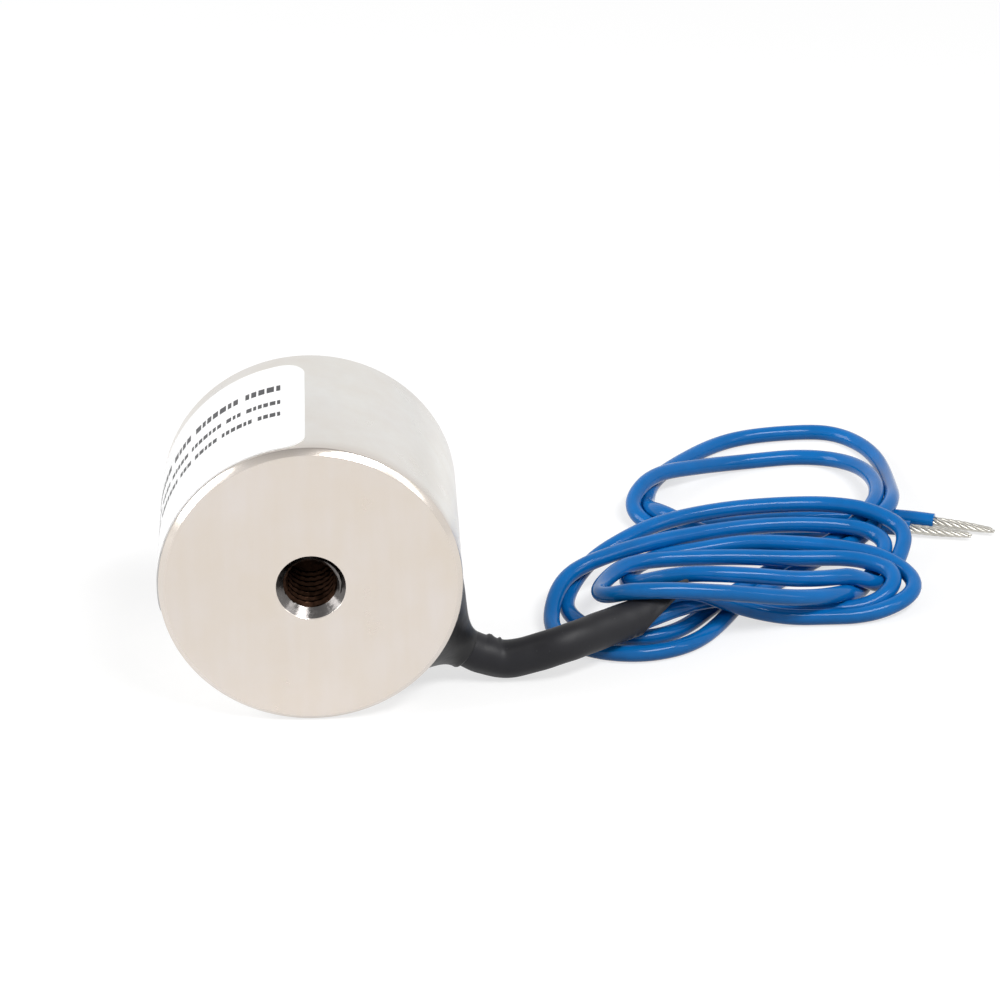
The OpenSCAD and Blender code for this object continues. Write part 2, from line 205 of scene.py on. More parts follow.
class LeadSettings(bpy.types.PropertyGroup):
    """The leads, their sleeve and the seal at the lead hole."""

    wire_d: length("Wire Diameter", "Outside diameter of each insulated wire", 1.15)
    sleeve_d: length("Sleeve Diameter", "Outside diameter of the sleeve", 2.58)
    sleeve_side: length("Sleeve Side", "Diameter across the sleeve where the leads press it oval", 2.24)
    sleeve_wall: length("Sleeve Wall", "Wall of the sleeve", 0.12)
    sleeve_cut: length("Sleeve Cut", "How far the cut of the sleeve's end slants", 5)
    sleeve_past: length("Sleeve Past", "How far the sleeve's upper lip runs past its route", 1.2)
    wire_offset: length("Wire Offset", "Distance of each wire from the sleeve's line", 0.585)
    seal_h: length("Seal Height", "Height of the seal's flare up the sleeve", 2.9)
    seal_w: length("Seal Reach", "Reach of the seal's flare round the pot, from the sleeve", 3.4)
    seal_lip: length("Seal Lip", "Thickness of the seal's edges", 0.15)
    seal_lean: share("Seal Lean", "How far up its side the flare runs straight before it hollows", 0.49)
    seal_neck: share("Seal Neck", "Share of the flare's height that runs along the sleeve", 0.4)
    core_d: length("Core Diameter", "Diameter of the bare stranded end", 0.7)
    tip_length: length("Bare End", "Length of the bare end", 4.5)
    declared: length("Lead Length", "Length of each lead from the joint to its bare end", 220)
    insulation: colour("Insulation", "Colour of the wires", (0.002, 0.14, 0.44))
    sleeve: colour("Sleeve", "Colour of the sleeve", (0.012, 0.012, 0.015))
    seal: colour("Seal", "Colour of the seal", (0.011, 0.011, 0.012))
    tin: colour("Tin", "Colour of the tinned strands", (0.62, 0.6, 0.55))


class InsideSettings(bpy.types.PropertyGroup):
    """The resin at the holding face and the coil that it covers."""

    resin: colour("Resin", "Colour of the cast resin", (0.02, 0.02, 0.022))
    bobbin: colour("Bobbin", "Colour of the bobbin", (0.78, 0.73, 0.62))
    copper: colour("Copper", "Colour of the enamelled winding", (0.6, 0.24, 0.09))
    tape: colour("Tape", "Colour of the tape", (0.72, 0.5, 0.08))
    solder: colour("Solder", "Colour of the soldered joints", (0.66, 0.66, 0.66))


class StageSettings(bpy.types.PropertyGroup):
    """The floor, the light and the camera."""

    floor: colour("Floor", "Colour of the floor", (0.36, 0.36, 0.36))
    floor_glow: share("Floor Glow", "What the floor adds to look white", 0.68)
    sky: share("Sky", "Light from all round", 0.34, 4)
    ceiling: share("Ceiling", "How bright the ceiling looks in a mirror", 0.5)
    lens: share("Lens", "Focal length in millimetres", 146, 400)


def settings(name):
    """The named settings of the scene."""
    return getattr(bpy.context.scene, "magnet_" + name)


def value_of(group, name):
    """A length of the settings, in millimetres."""
    return getattr(group, name) / MM


def add_piece(name, points, faces, materials, sharp=35, indices=None):
    """A smooth mesh object from points in millimetres, riding on the magnet."""
    mesh = bpy.data.meshes.new(name)
    mesh.from_pydata((np.asarray(points) * MM).tolist(), [], [list(map(int, f)) for f in faces])
    for material in materials:
        mesh.materials.append(material)
    if indices is not None:
        mesh.polygons.foreach_set("material_index", indices)
    mesh.validate()
    mesh.shade_smooth()
    mesh.set_sharp_from_angle(angle=math.radians(sharp))
    piece = bpy.data.objects.new(name, mesh)
    bpy.context.scene.collection.objects.link(piece)
    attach(piece, ROOT)
    return piece


def grid_faces(rows, columns, closed):
    """Quads between the rows of a grid, closed round its columns or open."""
    across = np.arange(columns if closed else columns - 1)
    after = (across + 1) % columns
    start = np.arange(rows - 1)[:, None] * columns
    quads = [start + across, start + after, start + columns + after, start + columns + across]
    return np.stack([np.broadcast_to(q, (rows - 1, len(across))) for q in quads], axis=2).reshape(-1, 4)


def eased(corners, steps=4):
    """A profile whose corners, given as (radius, along, ease), are rounded by their ease."""
    points = [np.array(corners[0][:2], float)]
    for before, (r, y, ease), after in zip(corners, corners[1:], corners[2:]):
        here = np.array((r, y), float)
        if not ease:
            points.append(here)
            continue
        first, last = (np.array(p[:2], float) - here for p in (before, after))
        first *= ease / np.linalg.norm(first)
        last *= ease / np.linalg.norm(last)
        for t in np.linspace(0, 1, steps):
            points.append(here + (1 - t) ** 2 * first + t ** 2 * last)
    points.append(np.array(corners[-1][:2], float))
    return np.array(points)


def lathe(profile, columns, radius_of=None):
    """Points of a profile turned round the magnet's axis. radius_of may change the radius."""
    turn = np.linspace(0, 2 * math.pi, columns, endpoint=False)
    r, y = (np.repeat(profile[:, k, None], columns, axis=1) for k in (0, 1))
    if radius_of:
        r = radius_of(r, y, turn)
    return np.stack([r * np.cos(turn), y, AXIS_Z + r * np.sin(turn)], axis=2).reshape(-1, 3)


def smooth_line(points, step):
    """A smooth curve through points, with even steps."""
    p = np.asarray(points, float)
    p = np.vstack([2 * p[0] - p[1], p, 2 * p[-1] - p[-2]])
    t = np.linspace(0, 1, 24, endpoint=False)[:, None]
    parts = []
    for a, b, c, d in zip(p, p[1:], p[2:], p[3:]):
        square = 2 * a - 5 * b + 4 * c - d
        cube = 3 * (b - c) + d - a
        parts.append(b + ((c - a) * t + square * t ** 2 + cube * t ** 3) / 2)
    dense = np.vstack(parts + [p[-2:-1]])
    along = np.concatenate([[0], np.cumsum(np.linalg.norm(np.diff(dense, axis=0), axis=1))])
    at = np.linspace(0, along[-1], int(round(along[-1] / step)) + 1)
    return np.stack([np.interp(at, along, dense[:, k]) for k in range(3)], axis=1)


def directions(line):
    """The unit direction of a line at each of its points."""
    d = np.gradient(line, axis=0)
    return d / np.linalg.norm(d, axis=1)[:, None]


def frames(line):
    """A side and an upper direction at each point, which don't twist along the line."""
    along = directions(line)
    side = np.cross((0, 0, 1), along[0])
    sides = []
    for d in along:
        side = side - side.dot(d) * d
        side = side / np.linalg.norm(side)
        sides.append(side)
    sides = np.array(sides)
    return sides, np.cross(along, sides)


def tube(line, radius, sides):
    """Points and faces of a closed tube. The radius is a number or a table of rings by sides."""
    side, over = frames(line)
    turn = np.linspace(0, 2 * math.pi, sides, endpoint=False)
    ring = np.cos(turn)[None, :, None] * side[:, None] + np.sin(turn)[None, :, None] * over[:, None]
    radius = np.broadcast_to(radius, (len(line), sides))
    points = (line[:, None] + radius[:, :, None] * ring).reshape(-1, 3)
    last = (len(line) - 1) * sides
    faces = grid_faces(len(line), sides, True).tolist()
    faces += [list(range(sides - 1, -1, -1)), list(range(last, last + sides))]
    return points, faces


def joined(parts):
    """Several (points, faces) as one."""
    points, faces, count = [], [], 0
    for p, f in parts:
        points.append(p)
        faces += [[count + k for k in face] for face in f]
        count += len(p)
    return np.vstack(points), faces


def sleeve_route():
    """The points of the sleeve's route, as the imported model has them."""
    sleeve_r = value_of(settings("leads"), "sleeve_d") / 2
    straight = AXIS_AT_EXIT + STRAIGHT_R * EXIT_OUT
    bend_r = (straight[2] - sleeve_r) / (1 - math.cos(EXIT_ANGLE))
    half = EXIT_ANGLE / 2
    level_x = straight[0] + bend_r * math.sin(EXIT_ANGLE)
    route = [AXIS_AT_EXIT + LEAD_START_R * EXIT_OUT, straight]
    bend_x = straight[0] + bend_r * (math.sin(EXIT_ANGLE) - math.sin(half))
    bend_z = straight[2] - bend_r * (math.cos(half) - math.cos(EXIT_ANGLE))
    route += [(bend_x, EXIT_Y, bend_z), (level_x, EXIT_Y, sleeve_r)]
    route += [(level_x + x, EXIT_Y + y, sleeve_r + z) for x, y, z in SLEEVE_FREE]
    return np.array(route)


def turn_points(turns):
    """The points of a lead's turns, with the quarters of ellipses between sides and ends filled in."""
    points = []
    for here, after in zip(turns, turns[1:] + (("by", 0, 0, 0),)):
        start = np.array(here[1:], float)
        points.append(start)
        if "by" in (here[0], after[0]):
            continue
        step = np.array(after[1:], float) - start
        for part in (1 / 3, 2 / 3):
            swing = part * math.pi / 2
            quick, slow = math.sin(swing), 1 - math.cos(swing)
            flat = (quick, slow) if here[0] == "side" else (slow, quick)
            points.append(start + step * (*flat, part * part * (3 - 2 * part)))
    return points


def settle(lines, held, sleeve, wire_d, sleeve_r):
    """Moves crossing strands apart and onto the floor and the sleeve, close to where they were laid.

    The first points of each line, as many as held, and the last few stay where they are.
    """
    counts = [len(line) for line in lines]
    x = np.vstack(lines)
    home = x.copy()
    wire = np.repeat(np.arange(len(lines)), counts)
    place = np.concatenate([np.arange(n) for n in counts])
    tail = np.concatenate([np.arange(n, 0, -1) for n in counts])
    kept_tail, next_points, out_of_sleeve, look_every = 4, 6, 8, 10
    free = (place >= held) & (tail > kept_tail)
    idx = np.nonzero(free)[0]
    apart = (wire[:, None] != wire[None]) | (abs(place[:, None] - place[None]) > next_points)
    room = sleeve_r + wire_d / 2
    for step in range(SETTLE_ROUNDS):
        if step % look_every == 0:
            gap = ((x[:, None] - x[None]) ** 2).sum(2)
            i, j = np.nonzero((gap < (2 * wire_d) ** 2) & apart)
            part = 1 / np.maximum(free[i].astype(float) + free[j], 1)
            beside = ((x[:, None] - sleeve[None]) ** 2).sum(2).min(1)
            near = np.nonzero((place >= held + out_of_sleeve) & (beside < (2 * room) ** 2))[0]
        loose = max(0, 1 - step / (0.75 * SETTLE_ROUNDS))
        moved = x - home
        even = (moved[idx - 1] + moved[idx + 1]) / 2 - moved[idx]
        x[idx] += (0.1 + 0.4 * loose) * even - DRAWN_BACK * loose * moved[idx]
        x[idx, 2] -= SINK * loose
        d = x[i] - x[j]
        gap = np.maximum(np.linalg.norm(d, axis=1), 1e-6)
        deep = np.maximum(wire_d - gap, 0)
        push, hits = np.zeros_like(x), np.zeros(len(x))
        np.add.at(push, i, d * (deep / gap * part)[:, None])
        np.add.at(hits, i, deep > 0)
        x[idx] += PARTING * (push / np.maximum(hits, 1)[:, None])[idx]
        d = x[near, None] - sleeve[None]
        gap = np.linalg.norm(d, axis=2)
        k = gap.argmin(1)
        rows = np.arange(len(near))
        x[near] += d[rows, k] * (np.maximum(room - gap[rows, k], 0) / gap[rows, k])[:, None]
        x[:, 2] = np.maximum(x[:, 2], wire_d / 2)
    return np.split(x, np.cumsum(counts)[:-1])


def lead_lines(step=0.5):
    """The settled centrelines of both leads, from inside the pot to where the insulation ends."""
    leads = settings("leads")
    wire_d, sleeve_r = value_of(leads, "wire_d"), value_of(leads, "sleeve_d") / 2
    route = sleeve_route()
    along = directions(route)
    side = np.cross((0, 0, 1), along)
    over = np.cross(along, side / np.linalg.norm(side, axis=1)[:, None])
    lines = []
    for turns, way in ((LEAD_A, 1), (LEAD_B, -1)):
        start = route + way * value_of(leads, "wire_offset") * over
        lines.append(smooth_line(np.vstack([start] + turn_points(turns)), step))
    sleeve = smooth_line(route, step / 2)
    held = int(len(sleeve) / 2)
    first = held + 4
    for line in lines:
        for _ in range(SMOOTH_PASSES):
            line[first:-1] = (line[first - 1:-2] + 2 * line[first:-1] + line[first + 1:]) / 4
    return settle(lines, held, sleeve, wire_d, sleeve_r)


# Shader building

def new_material(name):
    """A material with a Principled shader, and the tools to wire it."""
    material = bpy.data.materials.new(name)
    material.use_nodes = True
    return material, material.node_tree, material.node_tree.nodes["Principled BSDF"]


def wire(tree, source, target):
    """Links two sockets."""
    tree.links.new(source, target)


def node(tree, kind, **values):
    """A node with attributes and unlinked inputs set."""
    made = tree.nodes.new(kind)
    for name, value in values.items():
        if hasattr(made, name):
            setattr(made, name, value)
        else:
            made.inputs[name.replace("_", " ")].default_value = value
    return made


def math_node(tree, operation, first, second=None, clamp=False):
    """A Math node on sockets or numbers."""
    made = tree.nodes.new("ShaderNodeMath")
    made.operation = operation
    made.use_clamp = clamp
    for k, part in enumerate((first, second)):
        if isinstance(part, bpy.types.NodeSocket):
            wire(tree, part, made.inputs[k])
        elif part is not None:
            made.inputs[k].default_value = part
    return made.outputs[0]


def mixed(tree, mask, first, second):
    """A colour between two, by a mask. Each colour is a socket or three numbers."""
    made = tree.nodes.new("ShaderNodeMix")
    made.data_type = "RGBA"
    wire(tree, mask, made.inputs[0])
    for k, part in ((6, first), (7, second)):
        if isinstance(part, bpy.types.NodeSocket):
            wire(tree, part, made.inputs[k])
        else:
            made.inputs[k].default_value = (*part, 1)
    return made.outputs[2]


def ranged(tree, value, low, high):
    """A mask from 0 to 1 spread over low to high."""
    made = node(tree, "ShaderNodeMapRange", To_Min=low, To_Max=high)
    wire(tree, value, made.inputs["Value"])
    return made.outputs[0]


def own_place(tree):
    """The place on the piece, in its own coordinates."""
    return node(tree, "ShaderNodeTexCoord").outputs["Object"]


def noise_on(tree, scale, detail, rough, place=None):
    """A noise over the piece, or over another place, whose scale is a socket."""
    made = node(tree, "ShaderNodeTexNoise", Detail=detail, Roughness=rough)
    wire(tree, own_place(tree) if place is None else place, made.inputs["Vector"])
    wire(tree, scale, made.inputs["Scale"])
    return made.outputs[0]


def contrasted(tree, value, middle, contrast):
    """A mask that is half at the value's middle and spreads from there by the contrast."""
    spread = math_node(tree, "MULTIPLY", math_node(tree, "SUBTRACT", value, middle), contrast)
    return math_node(tree, "ADD", spread, 0.5, clamp=True)


def new_group(name, inputs, outputs):
    """An empty node group with float sockets, and its input and output nodes."""
    tree = bpy.data.node_groups.new(name, "ShaderNodeTree")
    for socket, default in inputs:
        made = tree.interface.new_socket(socket, in_out="INPUT", socket_type="NodeSocketFloat")
        made.default_value = default
    for socket in outputs:
        tree.interface.new_socket(socket, in_out="OUTPUT", socket_type="NodeSocketFloat")
    return tree, tree.nodes.new("NodeGroupInput"), tree.nodes.new("NodeGroupOutput")


def mottle_group():
    """Soft blotches of two sizes, as stain or wear."""
    tree, given, out = new_group("soft_mottle", (("Scale", 300), ("Contrast", 2)), ("Mask",))
    large = noise_on(tree, given.outputs["Scale"], 3, 0.55)
    small = noise_on(tree, math_node(tree, "MULTIPLY", given.outputs["Scale"], 4.3), 2, 0.55)
    both = math_node(tree, "ADD", large, math_node(tree, "MULTIPLY", small, 0.4))
    wire(tree, contrasted(tree, both, 0.7, given.outputs["Contrast"]), out.inputs["Mask"])
    return tree


def grain_group():
    """Fine surface grain, for bump and roughness."""
    tree, given, out = new_group("fine_grain", (("Scale", 6000),), ("Height",))
    wire(tree, noise_on(tree, given.outputs["Scale"], 2, 0.6), out.inputs["Height"])
    return tree


def dust_group():
    """Small scattered specks of dust."""
    tree, given, out = new_group("dust_specks", (("Scale", 900), ("Amount", 0.1)), ("Mask",))
    cells = node(tree, "ShaderNodeTexVoronoi", feature="F1")
    wire(tree, own_place(tree), cells.inputs["Vector"])
    wire(tree, given.outputs["Scale"], cells.inputs["Scale"])
    near = math_node(tree, "LESS_THAN", cells.outputs["Distance"], given.outputs["Amount"])
    wire(tree, near, out.inputs["Mask"])
    return tree


def turning_group():
    """Fine rings left by turning: round the axis on a face, and round the side."""
    tree, given, out = new_group("turning_rings", (("Scale", 9000),), ("Height",))
    split = node(tree, "ShaderNodeSeparateXYZ")
    wire(tree, own_place(tree), split.inputs[0])
    up = math_node(tree, "SUBTRACT", split.outputs["Z"], AXIS_Z * MM)
    sides = [math_node(tree, "ABSOLUTE", s) for s in (split.outputs["X"], up)]
    squares = [math_node(tree, "POWER", s, 2) for s in sides]
    radius = math_node(tree, "SQRT", math_node(tree, "ADD", *squares))
    place = node(tree, "ShaderNodeCombineXYZ")
    wire(tree, radius, place.inputs["X"])
    wire(tree, split.outputs["Y"], place.inputs["Y"])
    wire(tree, noise_on(tree, given.outputs["Scale"], 3, 0.7, place.outputs[0]), out.inputs["Height"])
    return tree


def streak_group():
    """Faint upright streaks, as left by wiping."""
    tree, given, out = new_group("wiped_streaks", (("Scale", 900), ("Contrast", 2)), ("Mask",))
    stretch = node(tree, "ShaderNodeMapping", Scale=(1, 0.4, 0.14))
    wire(tree, own_place(tree), stretch.inputs["Vector"])
    streaks = noise_on(tree, given.outputs["Scale"], 2, 0.5, stretch.outputs[0])
    wire(tree, contrasted(tree, streaks, 0.5, given.outputs["Contrast"]), out.inputs["Mask"])
    return tree


GROUP_MAKERS = {
    "soft_mottle": mottle_group, "fine_grain": grain_group, "dust_specks": dust_group,
    "turning_rings": turning_group, "wiped_streaks": streak_group,
}


def effect(tree, name, **values):
    """The output of a shared effect, placed in a material with its own values."""
    made = tree.nodes.new("ShaderNodeGroup")
    made.node_tree = bpy.data.node_groups.get(name) or GROUP_MAKERS[name]()
    for socket, value in values.items():
        made.inputs[socket].default_value = value
    return made.outputs[0]


def bump(tree, shader, layers):
    """Bump from layers of (height, depth in millimetres), one over the other."""
    normal = None
    for height, depth in layers:
        made = node(tree, "ShaderNodeBump", Strength=1.0, Distance=depth * MM)
        wire(tree, height, made.inputs["Height"])
        if normal:
            wire(tree, normal, made.inputs["Normal"])
        normal = made.outputs[0]
    wire(tree, normal, shader.inputs["Normal"])


def grained(tree, shader, scale, depth):
    """Bump from fine grain alone, of a depth in millimetres."""
    bump(tree, shader, ((effect(tree, "fine_grain", Scale=scale), depth),))


def plating():
    """Nickel plating: neutral on the ground side; on the turned faces faintly stained, and warmer as a
    painted reflection of warm surroundings in front.
    """
    pot = settings("pot")
    # The side is darker and warmer next to the rear bevel: fully within 0.5 mm of the rear face, fading
    # out by 1.6 mm.
    near, far = (REAR_Y + 0.5) * MM, (REAR_Y + 1.6) * MM
    rear_band_strength, rear_band_tone = 0.75, [0.84 * c for c in pot.face_tone_and_reflection]
    blotches = ((260, 0.3, pot.stain_colour), (110, 0.4, pot.cool_colour))
    wiping, bevel_polish = 0.24, 1.9
    material, tree, shader = new_material("nickel_plating")
    way = node(tree, "ShaderNodeSeparateXYZ")
    wire(tree, node(tree, "ShaderNodeTexCoord").outputs["Normal"], way.inputs[0])
    facing = math_node(tree, "ABSOLUTE", way.outputs["Y"])
    place = node(tree, "ShaderNodeSeparateXYZ")
    wire(tree, own_place(tree), place.inputs[0])
    rear_band = node(tree, "ShaderNodeMapRange", From_Min=near, From_Max=far, To_Min=rear_band_strength, To_Max=0.0)
    wire(tree, place.outputs["Y"], rear_band.inputs["Value"])
    side = mixed(tree, rear_band.outputs[0], pot.side_colour, rear_band_tone)
    # Painted reflection: by their normal, the faces take the warmer face tone, which stands for the warm
    # surroundings that they mirror.
    base = mixed(tree, facing, side, pot.face_tone_and_reflection)
    for scale, amount, tone in blotches:
        mottle = effect(tree, "soft_mottle", Scale=scale, Contrast=2.2)
        base = mixed(tree, math_node(tree, "MULTIPLY", mottle, amount), base, tone)
    streaks = effect(tree, "wiped_streaks", Scale=1100, Contrast=2.6)
    wiped = math_node(tree, "MULTIPLY", math_node(tree, "MULTIPLY", streaks, wiping), facing)
    wire(tree, mixed(tree, wiped, base, pot.stain_colour), shader.inputs["Base Color"])
    shader.inputs["Metallic"].default_value = 1
    haze = effect(tree, "soft_mottle", Scale=220, Contrast=1.6)
    matt = ranged(tree, haze, pot.roughness - 0.05, pot.roughness + 0.09)
    slope = math_node(tree, "MULTIPLY", facing, math_node(tree, "SUBTRACT", 1, facing))
    polish = math_node(tree, "SUBTRACT", 1, math_node(tree, "MULTIPLY", slope, bevel_polish))
    wire(tree, math_node(tree, "MULTIPLY", matt, polish), shader.inputs["Roughness"])
    rings = effect(tree, "turning_rings", Scale=2600)
    bump(tree, shader, ((rings, 0.0005), (effect(tree, "fine_grain", Scale=2500), 0.0004)))
    return material


def blotched_metal(name, tone, dark, mottle, rough):
    """A metal in blotches of two tones, the darker first. mottle is their scale and contrast."""
    material, tree, shader = new_material(name)
    mask = effect(tree, "soft_mottle", Scale=mottle[0], Contrast=mottle[1])
    wire(tree, mixed(tree, mask, [dark * c for c in tone], tone), shader.inputs["Base Color"])
    shader.inputs["Metallic"].default_value = 1
    wire(tree, ranged(tree, mask, *rough), shader.inputs["Roughness"])
    return material, tree, shader


def cut_steel(name, tone, dark, rough):
    """Steel that a tool left bare, with old oil in blotches."""
    material, tree, shader = blotched_metal(name, tone, dark, (900, 3), (rough, rough + 0.2))
    grained(tree, shader, 4000, 0.004)
    return material


def coated(name, tone, rough, mottle, grain, dust=0.0, gloss=0.5, dust_tone=(0.6, 0.6, 0.58)):
    """A plastic or rubber finish: uneven tone and gloss, fine grain and a little dust."""
    material, tree, shader = new_material(name)
    shader.inputs["Specular IOR Level"].default_value = gloss
    mask = effect(tree, "soft_mottle", Scale=mottle, Contrast=1.6)
    base = mixed(tree, mask, [0.86 * c for c in tone], [min(1, 1.12 * c) for c in tone])
    if dust:
        specks = math_node(tree, "MULTIPLY", effect(tree, "dust_specks", Scale=1500, Amount=0.07), dust)
        base = mixed(tree, specks, base, dust_tone)
    wire(tree, base, shader.inputs["Base Color"])
    wire(tree, ranged(tree, mask, rough - 0.05, rough + 0.06), shader.inputs["Roughness"])
    grained(tree, shader, *grain)
    return material


def bright_metal(name, tone, rough, grain):
    """A soft bright metal, such as tin or solder, dulled in blotches."""
    material, tree, shader = blotched_metal(name, tone, 0.78, (1200, 2.4), (rough + 0.12, rough - 0.06))
    grained(tree, shader, *grain)
    return material


def winding_copper():
    """Enamelled wire wound side by side."""
    tone = settings("inside").copper
    material, tree, shader = blotched_metal("enamelled_winding", tone, 0.7, (500, 2), (0.2, 0.34))
    shader.inputs["Metallic"].default_value = 0.9
    turns = node(tree, "ShaderNodeTexWave", bands_direction="Y", Scale=1600.0)
    wire(tree, own_place(tree), turns.inputs["Vector"])
    bump(tree, shader, ((turns.outputs[1], 0.04),))
    return material


def bore_radius(r, y, turn):
    """The radius of the tapped hole: ridges of the thread, cut away by the countersink at the mouth."""
    pot = settings("pot")
    pitch, major = value_of(pot, "thread_pitch"), value_of(pot, "thread_d") / 2
    minor = major - RIDGE * pitch
    phase = ((y - REAR_Y) / pitch - turn / (2 * math.pi)) % 1
    from_crest = np.minimum(phase, 1 - phase)
    wall = minor + (major - minor) * np.clip((from_crest - HALF_CREST) / FLANK, 0, 1)
    cone = major + value_of(pot, "countersink") - (y - REAR_Y)
    return np.maximum(wall, cone)


class MAGNET_OT_pot(bpy.types.Operator):
    """Build the plated pot with its tapped hole"""

    bl_idname = "magnet.pot"
    bl_label = "Pot"

    def execute(self, context):
        pot = settings("pot")
        major, pole_r = value_of(pot, "thread_d") / 2, value_of(pot, "pole_d") / 2
        depth, pitch = value_of(pot, "thread_depth"), value_of(pot, "thread_pitch")
        floor_y, rear_bevel = REAR_Y + value_of(pot, "rear_wall"), value_of(pot, "rear_bevel")
        face_bevel, mouth_r = value_of(pot, "face_bevel"), major + value_of(pot, "countersink")
        bottom, step = REAR_Y + depth, pitch / 20
        edge, middle, drill_tip, bare_depth = 0.06, 0.02, 0.6 * major, 0.62
        tip = np.array(((middle, bottom + drill_tip), (major, bottom)))
        threaded = np.arange(bottom - step, REAR_Y + edge, -step)
        bore = np.stack([np.full(len(threaded), major), threaded], axis=1)
        outside = eased((
            (mouth_r - edge, REAR_Y + edge, 0), (mouth_r, REAR_Y, 0.05),
            (BODY_R - rear_bevel, REAR_Y, 0.05), (BODY_R, REAR_Y + rear_bevel, 0.08),
            (BODY_R, FACE_Y - face_bevel, 0.05), (BODY_R - face_bevel, FACE_Y, 0.05),
            (SLOT_R, FACE_Y, 0.08), (SLOT_R, floor_y, 0),
            (pole_r, floor_y, 0), (pole_r, FACE_Y, 0.08), (middle, FACE_Y, 0),
        ))
        columns = pot.columns
        turned = (lathe(tip, columns), lathe(bore, columns, bore_radius), lathe(outside, columns))
        points = np.vstack(turned)
        rows = len(points) // columns
        faces = grid_faces(rows, columns, True).tolist()
        faces += [list(range(columns - 1, -1, -1)), list(range((rows - 1) * columns, rows * columns))]
        bare_rows = len(tip) + len(threaded)
        bore_rows = len(tip) + int((threaded > REAR_Y + bare_depth).sum())
        in_plating, in_bore, in_mouth = range(3)
        indices = np.full((rows - 1) * columns + 2, in_plating)
        indices[:bare_rows * columns] = in_mouth
        indices[:bore_rows * columns] = in_bore
        indices[-2] = in_bore
        # Painted shade: the thread's colour is darkened for the shade inside the hole, over the brown of
        # oily cut steel.
        bore_steel_and_shade = cut_steel("bore_steel_and_shade", pot.bore_tone_and_shade, 0.2, 0.25)
        # The countersink's dark grey is painted reflection of dark surroundings, on bare steel.
        mouth_steel_and_reflection = cut_steel("mouth_steel_and_reflection", pot.mouth_tone_and_reflection, 0.7, 0.12)
        finishes = (plating(), bore_steel_and_shade, mouth_steel_and_reflection)
        piece = add_piece("plated_pot", points, faces, finishes, 28, indices)
        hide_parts("pot_body")
        return {"FINISHED"}


def label_point(across, y, lift):
    """A point of the label: across from its near edge round the pot, y along it, lift above the pot."""
    angle = settings("label").start + across / BODY_R
    r = BODY_R + lift
    return np.stack([r * np.cos(angle), y, AXIS_Z + r * np.sin(angle)], axis=-1)


class MAGNET_OT_label(bpy.types.Operator):
    """Stick on the white label, with rows of plain blocks as print"""

    bl_idname = "magnet.label"
    bl_label = "Label"

    def execute(self, context):
        label = settings("label")
        width, corner = value_of(label, "width"), value_of(label, "corner")
        low, high = REAR_Y + value_of(label, "from_rear"), FACE_Y - value_of(label, "from_face")
        arc = corner * (1 - np.cos(np.linspace(0, math.pi / 2, 10)))
        across = np.concatenate([arc, np.linspace(corner, width - corner, 60)[1:-1], width - arc[::-1]])
        inset = corner - np.minimum(np.minimum(across, width - across), corner)
        cut = corner - np.sqrt(np.maximum(corner ** 2 - inset ** 2, 0))
        share_y = np.linspace(0, 1, 24)[:, None]
        y = low + cut + share_y * (high - low - 2 * cut)
        glue, thickness = 0.005, value_of(label, "thickness")
        across = np.broadcast_to(across, y.shape)
        top, foot = (label_point(across, y, lift) for lift in (thickness, glue))
        rows, columns = y.shape
        faces = grid_faces(rows, columns, False)
        size = rows * columns
        rim = list(range(columns)) + [r * columns + columns - 1 for r in range(1, rows)]
        rim += [size - 1 - k for k in range(1, columns)] + [r * columns for r in range(rows - 2, 0, -1)]
        faces = faces.tolist() + (faces[:, ::-1] + size).tolist()
        faces += [[b, a, a + size, b + size] for a, b in zip(rim, rim[1:] + rim[:1])]
        points = np.vstack([top.reshape(-1, 3), foot.reshape(-1, 3)])
        film = coated("label_film", label.film, 0.38, 120, (2500, 0.0015))
        piece = add_piece("label", points, faces, (film,), 40)
        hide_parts("rating_label")
        self.draw_print(width, thickness)
        return {"FINISHED"}

    def draw_print(self, width, thickness):
        """Rows of ink blocks which say nothing: each row's place, height, block and groups."""
        rows = (
            (2.3, 0.82, 0.5, (5, 7, 4, 6, 3)),
            (0.1, 0.6, 0.38, (6, 3, 7, 5, 4, 6)),
            (-1.7, 0.6, 0.38, (4, 6, 5, 3, 7, 4)),
        )
        margin, ink_lift, gap, space = 1.6, 0.008, 0.3, 0.8
        parts = []
        for middle, height, block, counts in rows:
            at = margin
            for group, count in enumerate(counts):
                for k in range(count):
                    wide = block * (0.55 + 0.15 * ((3 * k + group) % 4))
                    if at + wide > width - margin:
                        break
                    across = np.array((at, at, at + wide, at + wide))
                    y = middle + np.array((-0.5, 0.5, -0.5, 0.5)) * height
                    parts.append((label_point(across, y, thickness + ink_lift), [[0, 1, 3, 2]]))
                    at += wide + gap * block
                at += space * block
        ink = coated("label_ink", settings("label").ink, 0.45, 500, (4000, 0.001))
        piece = add_piece("label_print", *joined(parts), (ink,))


